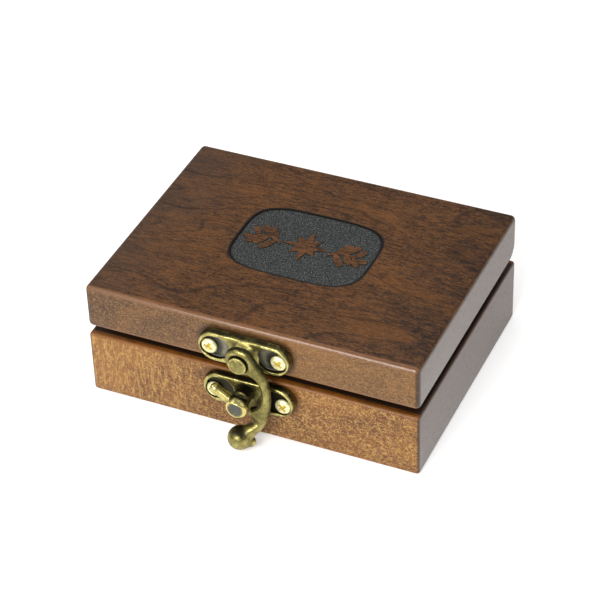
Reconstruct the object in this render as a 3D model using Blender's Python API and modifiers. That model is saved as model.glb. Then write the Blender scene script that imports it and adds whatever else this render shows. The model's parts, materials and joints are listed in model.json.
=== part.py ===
"""Small hinged presentation box in stained wood, with a brass swing-hook latch.

The box stands on its base with the latch towards -Y.  The origin is the centre of the
underside, X runs along the front and +Z is up.  The lid turns on two butt hinges at the
back, and the hook turns on its rivet.  All lengths are in metres.
"""

import math

import bmesh
import bpy
from mathutils import Matrix, Vector

MM = 0.001
GAP = 0.3 * MM                      # clearance between pieces that touch
OVERCUT = 1.0 * MM                  # cutters run this far past the face they open
PILOT_SPARE = 0.5 * MM              # a pilot hole is this much deeper than its screw

# ---- box ----
BOX_WIDTH = 100.0 * MM
BOX_DEPTH = 76.2 * MM
BASE_HEIGHT = 20.4 * MM
RIM_GAP = 2.4 * MM                  # open line between the base and the lid
LID_HEIGHT = 14.1 * MM
WALL = 10.0 * MM
CAVITY_DEPTH = 15.4 * MM
RECESS_DEPTH = 7.6 * MM
CAVITY_CORNER = 6.0 * MM            # left by the router bit
BASE_EDGE = 0.7 * MM
LID_EDGE = 1.2 * MM
LID_HEEL = 5.0 * MM                 # rounding that lets the lid tip back

LID_BOTTOM = BASE_HEIGHT + RIM_GAP
LID_TOP = LID_BOTTOM + LID_HEIGHT
FRONT = -BOX_DEPTH / 2
BACK = BOX_DEPTH / 2
CAVITY_WIDTH = BOX_WIDTH - 2 * WALL
CAVITY_LENGTH = BOX_DEPTH - 2 * WALL
CAVITY_FLOOR = BASE_HEIGHT - CAVITY_DEPTH
RECESS_CEILING = LID_BOTTOM + RECESS_DEPTH

# ---- linings and bumpers ----
LINING_THICKNESS = 2.4 * MM
LINING_EDGE = 0.8 * MM
BUMPER_RADIUS = 2.5 * MM
BUMPER_INSET_X = 9.0 * MM
BUMPER_INSET_Y = 6.3 * MM

# ---- hinges ----
HINGE_SPACING = 56.0 * MM           # between the two hinge centres
HINGE_WIDTH = 18.0 * MM
HINGE_INSET = 2.0 * MM              # axis inside the back face
HINGE_Y = BACK - HINGE_INSET
HINGE_Z = BASE_HEIGHT + RIM_GAP / 2
KNUCKLE_RADIUS = 1.7 * MM
BORE_RADIUS = 0.9 * MM
PIN_RADIUS = 0.6 * MM
LEAF_THICKNESS = 0.7 * MM
LEAF_FACE = 1.8 * MM                # axis to the face that lies in the wood
LEAF_REACH = 7.3 * MM               # axis to the free edge of a leaf
LEAF_SCREW_X = 5.5 * MM
LEAF_SCREW_Y = 4.6 * MM             # axis to the row of screws
KNUCKLES = 3
TAB_LAP = 0.5 * MM                  # overlap that joins a knuckle's tab to its leaf
TAB_STOP = 0.4 * MM                 # the tab ends this far short of the axis

# ---- latch: distances in front of the front face are "outward" ----
PLATE_LENGTH = 28.0 * MM
PLATE_HEIGHT = 10.3 * MM
PLATE_BACK = GAP
PLATE_FRONT = 2.6 * MM
PLATE_EDGE = 0.4 * MM
PLATE_FLOOR = 1.3 * MM              # bottom of the pockets that hold the screws
PLATE_RIM = 1.35 * MM               # wall round the pockets
POCKET_RUN = 0.9 * MM               # pocket runs this far from the end's centre inwards
PLATE_SCREW_X = 10.4 * MM
HASP_X = -0.5 * MM
HASP_Z = 29.2 * MM
HASP_SCREW_DROP = 0.4 * MM          # screws below the middle of their plate
STRIKE_X = 0.3 * MM
STRIKE_Z = 14.9 * MM
STRIKE_SCREW_DROP = 1.2 * MM

PIVOT_X = -0.2 * MM
PIVOT_Z = 28.6 * MM
BOSS_RADIUS = 4.0 * MM
HOOK_BACK = 4.1 * MM
HOOK_FRONT = 6.6 * MM
BOSS_FRONT = HOOK_BACK - GAP
HOOK_EDGE = 0.8 * MM
HEAD_RADIUS = 4.6 * MM
HEAD_X = 0.0
HEAD_Z = 29.1 * MM
HEAD_STEPS = 14
HEAD_BLEND = 0.3                    # radians left free where the head meets the arm
RIVET_RADIUS = 1.3 * MM
RIVET_HEAD_RADIUS = 2.5 * MM
RIVET_FACE = 7.2 * MM
RIVET_EDGE = 0.3 * MM
SPOT_FACE = 6.0 * MM                # floor of the round pocket under the rivet's head
SPOT_CLEAR = 0.45 * MM              # pocket wall to the rivet's head
KNOB_RADIUS = 3.6 * MM
KNOB_CENTRE = (0.0, 7.9 * MM, 4.0 * MM)             # x, outward, z
CURL_START = (5.4 * MM, 5.5 * MM, 8.6 * MM)         # the arm bends out towards the knob
CURL_END = (0.6 * MM, 7.8 * MM, 4.7 * MM)
CURL_RADII = (1.3 * MM, 2.7 * MM)
TAIL_RADIUS = 1.55 * MM
TAIL_END = (2.9 * MM, 7.0 * MM, 2.7 * MM)

PEG_X = 0.0
PEG_Z = 16.6 * MM
PEG_ROOT_RADIUS = 2.4 * MM
PEG_NECK_RADIUS = 2.7 * MM
PEG_HEAD_BACK = HOOK_FRONT + 0.4 * MM    # clear of the hook's tooth
PEG_HEAD_X = -0.3 * MM
PEG_HEAD_Z = 14.9 * MM              # the head is cast low, to hold the hook's tooth in
PEG_HEAD_RADIUS = 3.25 * MM
PEG_FRONT = 9.4 * MM
PEG_ROUND = 0.9 * MM
PEG_SLOPE = (6.2 * MM, 8.3 * MM)     # outward, where the neck bends down into the head
PEG_SLOPE_RADII = (2.65 * MM, 2.95 * MM)
PEG_SLOPE_Z = 15.1 * MM
GUARD_RADIUS = 1.55 * MM
GUARD_OUT = 5.0 * MM                # axis of the guard finger, outward
GUARD_TIP = (-8.2 * MM, 17.0 * MM)
GUARD_ROOT = (-1.2 * MM, 12.8 * MM)

# ---- screws ----
PAN_HEAD_RADIUS = 2.4 * MM
PAN_HEAD_HEIGHT = 1.1 * MM
SEAT_RADIUS = PAN_HEAD_RADIUS + GAP
PAN_SHANK_RADIUS = 1.1 * MM
PAN_LENGTH = 7.0 * MM
PAN_POINT = 1.8 * MM
FLAT_HEAD_RADIUS = 1.3 * MM
FLAT_HEAD_DEPTH = 0.65 * MM
FLAT_SHANK_RADIUS = 0.65 * MM
FLAT_LENGTH = 5.5 * MM
FLAT_POINT = 1.2 * MM

# The hook's arm: x and z in mm, from the top of the head down its outer edge to the knob,
# then back up its inner edge, past the tooth, to the underside of the head.
ARM_OUTER = ((2.9, 32.7), (4.5, 30.4), (6.2, 27.8), (7.8, 24.7), (8.6, 21.0), (8.6, 17.2),
             (8.1, 13.2), (7.0, 9.2), (5.0, 5.8), (1.6, 2.6))
ARM_INNER = ((-0.6, 4.6), (1.9, 5.9), (3.1, 7.6), (3.3, 9.5), (2.2, 11.0), (1.7, 12.3),
             (2.4, 13.5), (4.0, 14.3), (5.4, 16.6), (5.9, 19.2), (5.4, 22.0), (4.2, 23.9),
             (2.2, 24.9))

ROUND = 24                          # sides of a large round piece
MEDIUM_ROUND = 16
SMALL_ROUND = 12
SMOOTH_BELOW = math.radians(35)     # edges under this angle are shaded smooth


# ---------------------------------------------------------------- scene and materials
def empty_scene():
    for old in list(bpy.data.objects):
        bpy.data.objects.remove(old, do_unlink=True)


def collection(name):
    made = bpy.data.collections.new(name)
    bpy.context.scene.collection.children.link(made)
    return made


def material(name, colour, roughness, metallic=0.0):
    made = bpy.data.materials.new(name)
    made.use_nodes = True
    shader = made.node_tree.nodes["Principled BSDF"]
    shader.inputs["Base Color"].default_value = (*colour, 1.0)
    shader.inputs["Roughness"].default_value = roughness
    shader.inputs["Metallic"].default_value = metallic
    return made


empty_scene()
PARTS = collection("presentation_box")
TOOLS = collection("cutters")
WALNUT = material("walnut_stained_wood", (0.16, 0.070, 0.035), 0.38)
BRASS = material("antique_brass", (0.33, 0.27, 0.10), 0.38, 1.0)
PALE_BRASS = material("pale_brass", (0.80, 0.74, 0.45), 0.25, 1.0)
FELT = material("lining_felt", (0.030, 0.032, 0.030), 0.95)
RUBBER = material("bumper_rubber", (0.05, 0.04, 0.035), 0.7)


# ---------------------------------------------------------------- building helpers
def finish(made, finish_material, is_part=True):
    """Put the object in its collection, with its material, or mark it as a cutter."""
    if is_part:
        PARTS.objects.link(made)
        made.data.materials.clear()
        made.data.materials.append(finish_material)
    else:
        TOOLS.objects.link(made)
        made.hide_render = True
        made.display_type = 'WIRE'
    return made


def object_from(bm, name, finish_material=None):
    mesh = bpy.data.meshes.new(name)
    bm.to_mesh(mesh)
    bm.free()
    made = bpy.data.objects.new(name, mesh)
    return finish(made, finish_material, finish_material is not None)


def block(low, high):
    """A bmesh box between two corners."""
    bm = bmesh.new()
    bmesh.ops.create_cube(bm, size=1.0)
    size = Vector(high) - Vector(low)
    middle = (Vector(high) + Vector(low)) / 2
    bmesh.ops.scale(bm, vec=size, verts=bm.verts)
    bmesh.ops.translate(bm, vec=middle, verts=bm.verts)
    return bm


def round_edges(bm, chosen, width, segments):
    edges = [edge for edge in bm.edges if chosen(edge)]
    bmesh.ops.bevel(bm, geom=edges, offset=width, segments=segments, profile=0.5,
                    affect='EDGES', clamp_overlap=True)


def is_upright(edge):
    a, b = edge.verts
    return abs(a.co.z - b.co.z) > 0.5 * edge.calc_length()


def tray_block(width, length, low, high, corner):
    """A box centred on the origin in plan, with rounded upright corners."""
    bm = block((-width / 2, -length / 2, low), (width / 2, length / 2, high))
    round_edges(bm, is_upright, corner, 6)
    return bm


def ball(radius, centre, rings):
    bm = bmesh.new()
    bmesh.ops.create_uvsphere(bm, u_segments=2 * rings, v_segments=rings, radius=radius)
    bmesh.ops.translate(bm, vec=centre, verts=bm.verts)
    return bm


def combine(target, other, operation):
    change = target.modifiers.new(operation.lower(), 'BOOLEAN')
    change.operation = operation
    change.solver = 'EXACT'
    change.object = other


def cut(target, bm, name):
    combine(target, object_from(bm, name), 'DIFFERENCE')


def join(target, bm, name):
    combine(target, object_from(bm, name), 'UNION')


def turned(name, profile, steps, place, finish_material):
    """A turned piece: radii and heights from its top to its bottom, about local Z."""
    mesh = bpy.data.meshes.new(name)
    points = [(radius, 0.0, height) for radius, height in profile]
    mesh.from_pydata(points, [(i, i + 1) for i in range(len(points) - 1)], [])
    made = bpy.data.objects.new(name, mesh)
    made.matrix_world = place
    finish(made, finish_material)
    spin = made.modifiers.new("turned", 'SCREW')
    spin.steps = steps
    spin.render_steps = steps
    spin.use_merge_vertices = True
    spin.merge_threshold = 0.00001
    return made


def facing_front(x, outward, z):
    """Places local Z along -Y, with its origin this far in front of the front face."""
    return Matrix.Translation((x, FRONT - outward, z)) @ Matrix.Rotation(math.pi / 2, 4, 'X')


def rod(radius, start, end, sides):
    """A bmesh cylinder between two points."""
    return tapered((radius, radius), start, end, sides)


def tapered(radii, start, end, sides):
    """A bmesh cone between two points, from the first radius to the second."""
    start, end = Vector(start), Vector(end)
    bm = bmesh.new()
    bmesh.ops.create_cone(bm, cap_ends=True, segments=sides, radius1=radii[0],
                          radius2=radii[1], depth=(end - start).length)
    turn = Vector((0, 0, 1)).rotation_difference(end - start).to_matrix().to_4x4()
    bmesh.ops.transform(bm, matrix=Matrix.Translation((start + end) / 2) @ turn,
                        verts=bm.verts)
    return bm


def off_front(x, outward, z):
    """A point this far in front of the front face."""
    return Vector((x, FRONT - outward, z))


def front_rod(radius, x, z, out_from, out_to, sides):
    return rod(radius, off_front(x, out_from, z), off_front(x, out_to, z), sides)


def outline(name, points, thickness, edge, place, finish_material):
    """A flat piece from a closed 2D curve, rounded over at its edges, made a mesh."""
    curve = bpy.data.curves.new(name, 'CURVE')
    curve.dimensions = '2D'
    curve.fill_mode = 'BOTH'
    curve.extrude = thickness / 2 - edge
    curve.bevel_depth = edge
    curve.bevel_resolution = 1
    curve.offset = -edge
    spline = curve.splines.new('POLY')
    spline.points.add(len(points) - 1)
    for point, (x, y) in zip(spline.points, points):
        point.co = (x, y, 0.0, 1.0)
    spline.use_cyclic_u = True
    drawn = bpy.data.objects.new(name + "_curve", curve)
    drawn.matrix_world = place
    bpy.context.scene.collection.objects.link(drawn)
    bpy.context.view_layer.update()
    evaluated = drawn.evaluated_get(bpy.context.evaluated_depsgraph_get())
    mesh = bpy.data.meshes.new_from_object(evaluated)
    mesh.name = name
    bm = bmesh.new()
    bm.from_mesh(mesh)
    bmesh.ops.remove_doubles(bm, verts=bm.verts, dist=0.00001)
    bm.to_mesh(mesh)
    bm.free()
    made = bpy.data.objects.new(name, mesh)
    made.matrix_world = drawn.matrix_world.copy()
    bpy.data.objects.remove(drawn, do_unlink=True)
    return finish(made, finish_material)


def stadium(length, height, sides):
    """Outline of a bar with round ends."""
    radius = height / 2
    reach = length / 2 - radius
    points = []
    for side, turn in ((1, 0.0), (-1, math.pi)):
        for i in range(sides + 1):
            angle = turn + math.pi * (i / sides - 0.5)
            points.append((side * reach + radius * math.cos(angle),
                           radius * math.sin(angle)))
    return points


def smooth_run(points, per_span):
    """Catmull-Rom run through an open list of points, ends included."""
    padded = [points[0], *points, points[-1]]
    run = []
    for i in range(1, len(padded) - 2):
        before, start, end, after = (Vector(p) for p in padded[i - 1:i + 3])
        for k in range(per_span):
            t = k / per_span
            run.append(0.5 * (2 * start + (end - before) * t
                              + (2 * before - 5 * start + 4 * end - after) * t * t
                              + (3 * start - before - 3 * end + after) * t ** 3))
    run.append(Vector(points[-1]))
    return [(p.x, p.y) for p in run]


# ---------------------------------------------------------------- wooden parts
def mortise(x, side):
    """Cutter for one leaf of one hinge: side is -1 in the base and +1 in the lid."""
    half = HINGE_WIDTH / 2 + GAP
    near = HINGE_Z + side * (RIM_GAP / 2 - OVERCUT)
    far = HINGE_Z + side * (LEAF_FACE + GAP)
    low, high = min(near, far), max(near, far)
    return block((x - half, HINGE_Y - LEAF_REACH - GAP, low),
                 (x + half, BACK + OVERCUT, high))


def leaf_screws(x):
    return ((x - LEAF_SCREW_X, HINGE_Y - LEAF_SCREW_Y),
            (x + LEAF_SCREW_X, HINGE_Y - LEAF_SCREW_Y))


def cut_for_fittings(wood, side, plate_x, plate_z):
    """Mortises and pilot holes that the base and the lid have in common."""
    for x in (-HINGE_SPACING / 2, HINGE_SPACING / 2):
        cut(wood, mortise(x, side), wood.name + "_mortise")
        for screw_x, screw_y in leaf_screws(x):
            head_z = LEAF_FACE - LEAF_THICKNESS
            end = HINGE_Z + side * (head_z + FLAT_LENGTH + PILOT_SPARE)
            hole = rod(FLAT_SHANK_RADIUS + GAP, (screw_x, screw_y, HINGE_Z + side * head_z),
                       (screw_x, screw_y, end), SMALL_ROUND)
            cut(wood, hole, wood.name + "_hinge_pilot")
    for screw_x in (plate_x - PLATE_SCREW_X, plate_x + PLATE_SCREW_X):
        hole = front_rod(PAN_SHANK_RADIUS + GAP, screw_x, plate_z, OVERCUT,
                         PLATE_FLOOR - PAN_LENGTH - PILOT_SPARE, SMALL_ROUND)
        cut(wood, hole, wood.name + "_latch_pilot")


def make_base():
    bm = block((-BOX_WIDTH / 2, FRONT, 0.0), (BOX_WIDTH / 2, BACK, BASE_HEIGHT))
    round_edges(bm, lambda edge: True, BASE_EDGE, 2)
    base = object_from(bm, "base_block", WALNUT)
    cut(base, tray_block(CAVITY_WIDTH, CAVITY_LENGTH, CAVITY_FLOOR, LID_TOP,
                         CAVITY_CORNER), "base_cavity")
    cut_for_fittings(base, -1, STRIKE_X, STRIKE_Z - STRIKE_SCREW_DROP)


def make_lid():
    bm = block((-BOX_WIDTH / 2, FRONT, LID_BOTTOM), (BOX_WIDTH / 2, BACK, LID_TOP))

    def is_heel(edge):
        return all(v.co.y > 0 and v.co.z < LID_BOTTOM + GAP for v in edge.verts)

    def is_sharp(edge):
        return edge.calc_face_angle(0.0) > math.radians(60)

    round_edges(bm, is_heel, LID_HEEL, 6)
    round_edges(bm, is_sharp, LID_EDGE, 2)
    lid = object_from(bm, "lid_board", WALNUT)
    cut(lid, tray_block(CAVITY_WIDTH, CAVITY_LENGTH, 0.0, RECESS_CEILING,
                        CAVITY_CORNER), "lid_recess")
    cut_for_fittings(lid, 1, HASP_X, HASP_Z - HASP_SCREW_DROP)


def make_lining(name, low, soft_side):
    """A felt-covered pad: its face towards soft_side has rounded edges."""
    high = low + LINING_THICKNESS
    width = CAVITY_WIDTH - 2 * GAP
    length = CAVITY_LENGTH - 2 * GAP
    bm = tray_block(width, length, low, high, CAVITY_CORNER - GAP)
    face_z = high if soft_side > 0 else low

    def on_soft_face(edge):
        return all(abs(v.co.z - face_z) < GAP / 10 for v in edge.verts)

    round_edges(bm, on_soft_face, LINING_EDGE, 2)
    object_from(bm, name, FELT)


def make_bumpers():
    low = BASE_HEIGHT + GAP
    for name, side in (("bumper_left", -1), ("bumper_right", 1)):
        x = side * (BOX_WIDTH / 2 - BUMPER_INSET_X)
        y = FRONT + BUMPER_INSET_Y
        bm = rod(BUMPER_RADIUS, (x, y, low), (x, y, LID_BOTTOM - GAP), ROUND)
        object_from(bm, name, RUBBER)


# ---------------------------------------------------------------- hinges
def knuckle_spans(of_lid):
    """X ranges of a leaf's knuckles about the hinge's middle: the lid has the middle one."""
    length = (HINGE_WIDTH - (KNUCKLES - 1) * GAP) / KNUCKLES
    spans = []
    for i in range(KNUCKLES):
        start = -HINGE_WIDTH / 2 + i * (length + GAP)
        if (i % 2 == 1) == of_lid:
            spans.append((start, start + length))
    return spans


def make_leaf(name, x, side, of_lid):
    """One leaf: a plate let into the wood, with knuckles around the pin."""
    face = HINGE_Z + side * LEAF_FACE
    inner = HINGE_Z + side * (LEAF_FACE - LEAF_THICKNESS)
    low, high = min(face, inner), max(face, inner)
    clear = KNUCKLE_RADIUS + GAP
    leaf = object_from(block((x - HINGE_WIDTH / 2, HINGE_Y - LEAF_REACH, low),
                             (x + HINGE_WIDTH / 2, HINGE_Y - clear, high)), name, BRASS)
    for start, end in knuckle_spans(of_lid):
        tab = block((x + start, HINGE_Y - clear - TAB_LAP, low),
                    (x + end, HINGE_Y - TAB_STOP, high))
        join(leaf, tab, name + "_tab")
        barrel = rod(KNUCKLE_RADIUS, (x + start, HINGE_Y, HINGE_Z),
                     (x + end, HINGE_Y, HINGE_Z), ROUND)
        join(leaf, barrel, name + "_knuckle")
    bore = rod(BORE_RADIUS, (x - HINGE_WIDTH, HINGE_Y, HINGE_Z),
               (x + HINGE_WIDTH, HINGE_Y, HINGE_Z), SMALL_ROUND)
    cut(leaf, bore, name + "_bore")
    for screw_x, screw_y in leaf_screws(x):
        cone = bmesh.new()
        bmesh.ops.create_cone(cone, cap_ends=True, segments=SMALL_ROUND,
                              radius1=FLAT_SHANK_RADIUS + GAP,
                              radius2=FLAT_HEAD_RADIUS + 1.5 * GAP,
                              depth=LEAF_THICKNESS + GAP)
        if side > 0:
            bmesh.ops.rotate(cone, cent=(0, 0, 0), verts=cone.verts,
                             matrix=Matrix.Rotation(math.pi, 3, 'X'))
        bmesh.ops.translate(cone, vec=(screw_x, screw_y, (low + high) / 2),
                            verts=cone.verts)
        cut(leaf, cone, name + "_countersink")


def flat_screw(name, x, y, side):
    """Countersunk wood screw, head flush with the leaf's open face."""
    head_z = HINGE_Z + side * (LEAF_FACE - LEAF_THICKNESS)
    profile = ((0.0, 0.0), (FLAT_HEAD_RADIUS, 0.0),
               (FLAT_SHANK_RADIUS, -FLAT_HEAD_DEPTH),
               (FLAT_SHANK_RADIUS, FLAT_POINT - FLAT_LENGTH),
               (0.0, -FLAT_LENGTH))
    place = Matrix.Translation((x, y, head_z))
    if side > 0:
        place = place @ Matrix.Rotation(math.pi, 4, 'X')
    turned(name, profile, SMALL_ROUND, place, BRASS)


def make_hinges():
    for where, x in (("left", -HINGE_SPACING / 2), ("right", HINGE_SPACING / 2)):
        make_leaf(f"hinge_{where}_base_leaf", x, -1, of_lid=False)
        make_leaf(f"hinge_{where}_lid_leaf", x, 1, of_lid=True)
        pin = rod(PIN_RADIUS, (x - HINGE_WIDTH / 2, HINGE_Y, HINGE_Z),
                  (x + HINGE_WIDTH / 2, HINGE_Y, HINGE_Z), SMALL_ROUND)
        object_from(pin, f"hinge_{where}_pin", BRASS)
        for leaf_name, side in (("base", -1), ("lid", 1)):
            for number, (screw_x, screw_y) in enumerate(leaf_screws(x), 1):
                flat_screw(f"hinge_{where}_{leaf_name}_screw_{number}", screw_x,
                           screw_y, side)


# ---------------------------------------------------------------- latch
def make_plate(name, x, z, screw_z):
    """A cast plate with round ends and a pocket for the screw at each end."""
    middle = (PLATE_FRONT + PLATE_BACK) / 2
    plate = outline(name, stadium(PLATE_LENGTH, PLATE_HEIGHT, 10),
                    PLATE_FRONT - PLATE_BACK, PLATE_EDGE, facing_front(x, middle, z),
                    BRASS)
    end_x = (PLATE_LENGTH - PLATE_HEIGHT) / 2
    pocket_radius = PLATE_HEIGHT / 2 - PLATE_RIM
    for side in (-1, 1):
        screw_x = x + side * PLATE_SCREW_X
        places = ((pocket_radius, x + side * end_x, z),
                  (pocket_radius, x + side * (end_x - POCKET_RUN), z),
                  (SEAT_RADIUS, screw_x, screw_z))
        for radius, pocket_x, pocket_z in places:
            pocket = front_rod(radius, pocket_x, pocket_z, PLATE_FLOOR,
                               PLATE_FRONT + OVERCUT, ROUND)
            cut(plate, pocket, name + "_pocket")
        hole = front_rod(PAN_SHANK_RADIUS + GAP, screw_x, screw_z, -OVERCUT,
                         PLATE_FRONT, SMALL_ROUND)
        cut(plate, hole, name + "_hole")
    return plate


def make_plate_screws(name, x, z):
    """Pan-head wood screws that hold a plate to the wood."""
    for where, side in (("left", -1), ("right", 1)):
        rise = PAN_HEAD_HEIGHT
        profile = ((0.0, rise), (0.5 * PAN_HEAD_RADIUS, 0.93 * rise),
                   (0.85 * PAN_HEAD_RADIUS, 0.65 * rise), (PAN_HEAD_RADIUS, 0.2 * rise),
                   (PAN_HEAD_RADIUS, 0.0), (PAN_SHANK_RADIUS, 0.0),
                   (PAN_SHANK_RADIUS, PAN_POINT - PAN_LENGTH), (0.0, -PAN_LENGTH))
        place = facing_front(x + side * PLATE_SCREW_X, PLATE_FLOOR + GAP, z)
        turned(f"{name}_screw_{where}", profile, MEDIUM_ROUND, place, PALE_BRASS)


def make_hasp():
    """The upper plate on the lid, with the boss and rivet that carry the hook."""
    screw_z = HASP_Z - HASP_SCREW_DROP
    plate = make_plate("hasp_plate", HASP_X, HASP_Z, screw_z)
    boss = front_rod(BOSS_RADIUS, PIVOT_X, PIVOT_Z, PLATE_FLOOR, BOSS_FRONT, ROUND)
    join(plate, boss, "hasp_boss")
    bore = front_rod(RIVET_RADIUS + GAP, PIVOT_X, PIVOT_Z, -OVERCUT,
                     BOSS_FRONT + OVERCUT, MEDIUM_ROUND)
    cut(plate, bore, "hasp_bore")
    make_plate_screws("hasp", HASP_X, screw_z)

    head_back = SPOT_FACE + GAP
    profile = ((0.0, RIVET_FACE), (RIVET_HEAD_RADIUS - RIVET_EDGE, RIVET_FACE),
               (RIVET_HEAD_RADIUS, RIVET_FACE - RIVET_EDGE),
               (RIVET_HEAD_RADIUS, head_back), (RIVET_RADIUS, head_back),
               (RIVET_RADIUS, GAP), (0.0, GAP))
    turned("hook_rivet", profile, ROUND, facing_front(PIVOT_X, 0.0, PIVOT_Z), BRASS)


def make_hook():
    """The swinging hook: round head, curved arm with a tooth, and a finger knob."""
    outer = [(x * MM, z * MM) for x, z in smooth_run(ARM_OUTER, 2)]
    inner = [(x * MM, z * MM) for x, z in smooth_run(ARM_INNER, 2)]

    def bearing(point):
        return math.atan2(point[1] - HEAD_Z, point[0] - HEAD_X)

    start = bearing(inner[-1]) - HEAD_BLEND
    end = bearing(outer[0]) + HEAD_BLEND - 2 * math.pi
    head = []
    for i in range(HEAD_STEPS + 1):
        angle = start + (end - start) * i / HEAD_STEPS
        head.append((HEAD_X + HEAD_RADIUS * math.cos(angle),
                     HEAD_Z + HEAD_RADIUS * math.sin(angle)))
    points = [(x - PIVOT_X, z - PIVOT_Z) for x, z in head + outer + inner]
    middle = (HOOK_FRONT + HOOK_BACK) / 2
    hook = outline("swing_hook", points, HOOK_FRONT - HOOK_BACK, HOOK_EDGE,
                   facing_front(PIVOT_X, middle, PIVOT_Z), BRASS)
    knob = off_front(*KNOB_CENTRE)
    tail = off_front(*TAIL_END)
    curl = tapered(CURL_RADII, off_front(*CURL_START), off_front(*CURL_END), ROUND)
    join(hook, curl, "hook_curl")
    join(hook, ball(KNOB_RADIUS, knob, 12), "hook_knob")
    taper = tapered((0.9 * KNOB_RADIUS, TAIL_RADIUS), knob, tail, MEDIUM_ROUND)
    join(hook, taper, "hook_tail")
    join(hook, ball(TAIL_RADIUS * 1.04, tail, 7), "hook_tail_tip")
    bore = front_rod(RIVET_RADIUS + GAP, PIVOT_X, PIVOT_Z, HOOK_BACK - OVERCUT,
                     HOOK_FRONT + OVERCUT, MEDIUM_ROUND)
    cut(hook, bore, "hook_bore")
    pocket = front_rod(RIVET_HEAD_RADIUS + SPOT_CLEAR, PIVOT_X, PIVOT_Z, SPOT_FACE,
                       HOOK_FRONT + OVERCUT, ROUND)
    cut(hook, pocket, "hook_spot_face")


def make_strike():
    """The lower plate on the base: one casting with its peg and the guard finger."""
    screw_z = STRIKE_Z - STRIKE_SCREW_DROP
    plate = make_plate("strike_plate", STRIKE_X, STRIKE_Z, screw_z)
    neck = tapered((PEG_ROOT_RADIUS, PEG_NECK_RADIUS), off_front(PEG_X, PLATE_FLOOR, PEG_Z),
                   off_front(PEG_X, HOOK_FRONT, PEG_Z), ROUND)
    join(plate, neck, "peg_neck")
    slope = tapered(PEG_SLOPE_RADII, off_front(PEG_X, PEG_SLOPE[0], PEG_Z),
                    off_front(PEG_HEAD_X, PEG_SLOPE[1], PEG_SLOPE_Z), ROUND)
    join(plate, slope, "peg_slope")
    head = front_rod(PEG_HEAD_RADIUS, PEG_HEAD_X, PEG_HEAD_Z, PEG_HEAD_BACK, PEG_FRONT,
                     ROUND)

    def is_front_rim(edge):
        return all(v.co.y < FRONT - PEG_FRONT + GAP for v in edge.verts)

    round_edges(head, is_front_rim, PEG_ROUND, 3)
    join(plate, head, "peg_head")
    tip = off_front(GUARD_TIP[0], GUARD_OUT, GUARD_TIP[1])
    root = off_front(GUARD_ROOT[0], GUARD_OUT, GUARD_ROOT[1])
    join(plate, rod(GUARD_RADIUS, root, tip, SMALL_ROUND), "guard_finger")
    join(plate, ball(GUARD_RADIUS * 1.04, tip, 8), "guard_tip")
    make_plate_screws("strike", STRIKE_X, screw_z)


make_base()
make_lid()
make_lining("base_lining", CAVITY_FLOOR + GAP, 1)
make_lining("lid_lining", RECESS_CEILING - GAP - LINING_THICKNESS, -1)
make_bumpers()
make_hinges()
make_hasp()
make_hook()
make_strike()
for part in PARTS.objects:
    part.data.shade_smooth()
    part.data.set_sharp_from_angle(angle=SMOOTH_BELOW)
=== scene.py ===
"""Looks for the hinged presentation box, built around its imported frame."""
import json
import math

import bmesh
import bpy
import numpy as np
from mathutils import Matrix, Vector, noise
from mathutils.kdtree import KDTree

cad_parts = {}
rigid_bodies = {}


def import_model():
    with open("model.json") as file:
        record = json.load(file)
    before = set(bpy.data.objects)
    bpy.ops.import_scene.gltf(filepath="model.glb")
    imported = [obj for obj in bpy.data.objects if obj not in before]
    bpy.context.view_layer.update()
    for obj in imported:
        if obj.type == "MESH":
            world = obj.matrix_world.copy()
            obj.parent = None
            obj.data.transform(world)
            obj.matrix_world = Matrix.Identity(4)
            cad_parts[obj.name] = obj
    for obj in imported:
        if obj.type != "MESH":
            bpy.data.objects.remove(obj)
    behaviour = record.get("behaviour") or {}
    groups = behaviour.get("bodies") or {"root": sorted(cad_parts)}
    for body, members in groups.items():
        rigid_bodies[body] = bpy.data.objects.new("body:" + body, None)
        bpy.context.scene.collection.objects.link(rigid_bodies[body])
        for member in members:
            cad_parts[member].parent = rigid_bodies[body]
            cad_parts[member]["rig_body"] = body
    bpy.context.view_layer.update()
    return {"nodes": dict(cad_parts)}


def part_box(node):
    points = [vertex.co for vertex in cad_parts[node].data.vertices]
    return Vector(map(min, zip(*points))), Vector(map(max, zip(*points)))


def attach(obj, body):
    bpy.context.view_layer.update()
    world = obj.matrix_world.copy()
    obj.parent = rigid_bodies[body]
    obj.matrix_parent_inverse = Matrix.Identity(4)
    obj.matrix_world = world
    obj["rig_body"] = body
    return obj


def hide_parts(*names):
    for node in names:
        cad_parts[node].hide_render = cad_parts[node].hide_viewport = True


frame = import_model()
MM = 0.001
NODES = frame["nodes"]


# ---------------------------------------------------------------- sizes from the frame
def corners(node):
    low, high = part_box(node)
    return Vector(low), Vector(high)


def middle(node):
    """x and z of the middle of a node's box."""
    low, high = corners(node)
    return (low.x + high.x) / 2, (low.z + high.z) / 2


BASE_LOW, BASE_HIGH = corners("base_block")
LID_LOW, LID_HIGH = corners("lid_board")
FRONT = BASE_LOW.y
BACK = BASE_HIGH.y
LID_TOP = LID_HIGH.z
LINING_LOW, LINING_HIGH = corners("base_lining")
GAP = 0.3 * MM
CAVITY_X = LINING_HIGH.x + GAP
CAVITY_Y = LINING_HIGH.y + GAP
CAVITY_FLOOR = LINING_LOW.z - GAP
RECESS_CEILING = corners("lid_lining")[1].z + GAP
CAVITY_CORNER = 6.0 * MM
BASE_EDGE = 1.0 * MM
LID_EDGE = 1.6 * MM
LID_HEEL = 5.0 * MM
PIVOT = middle("hook_rivet")


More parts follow.
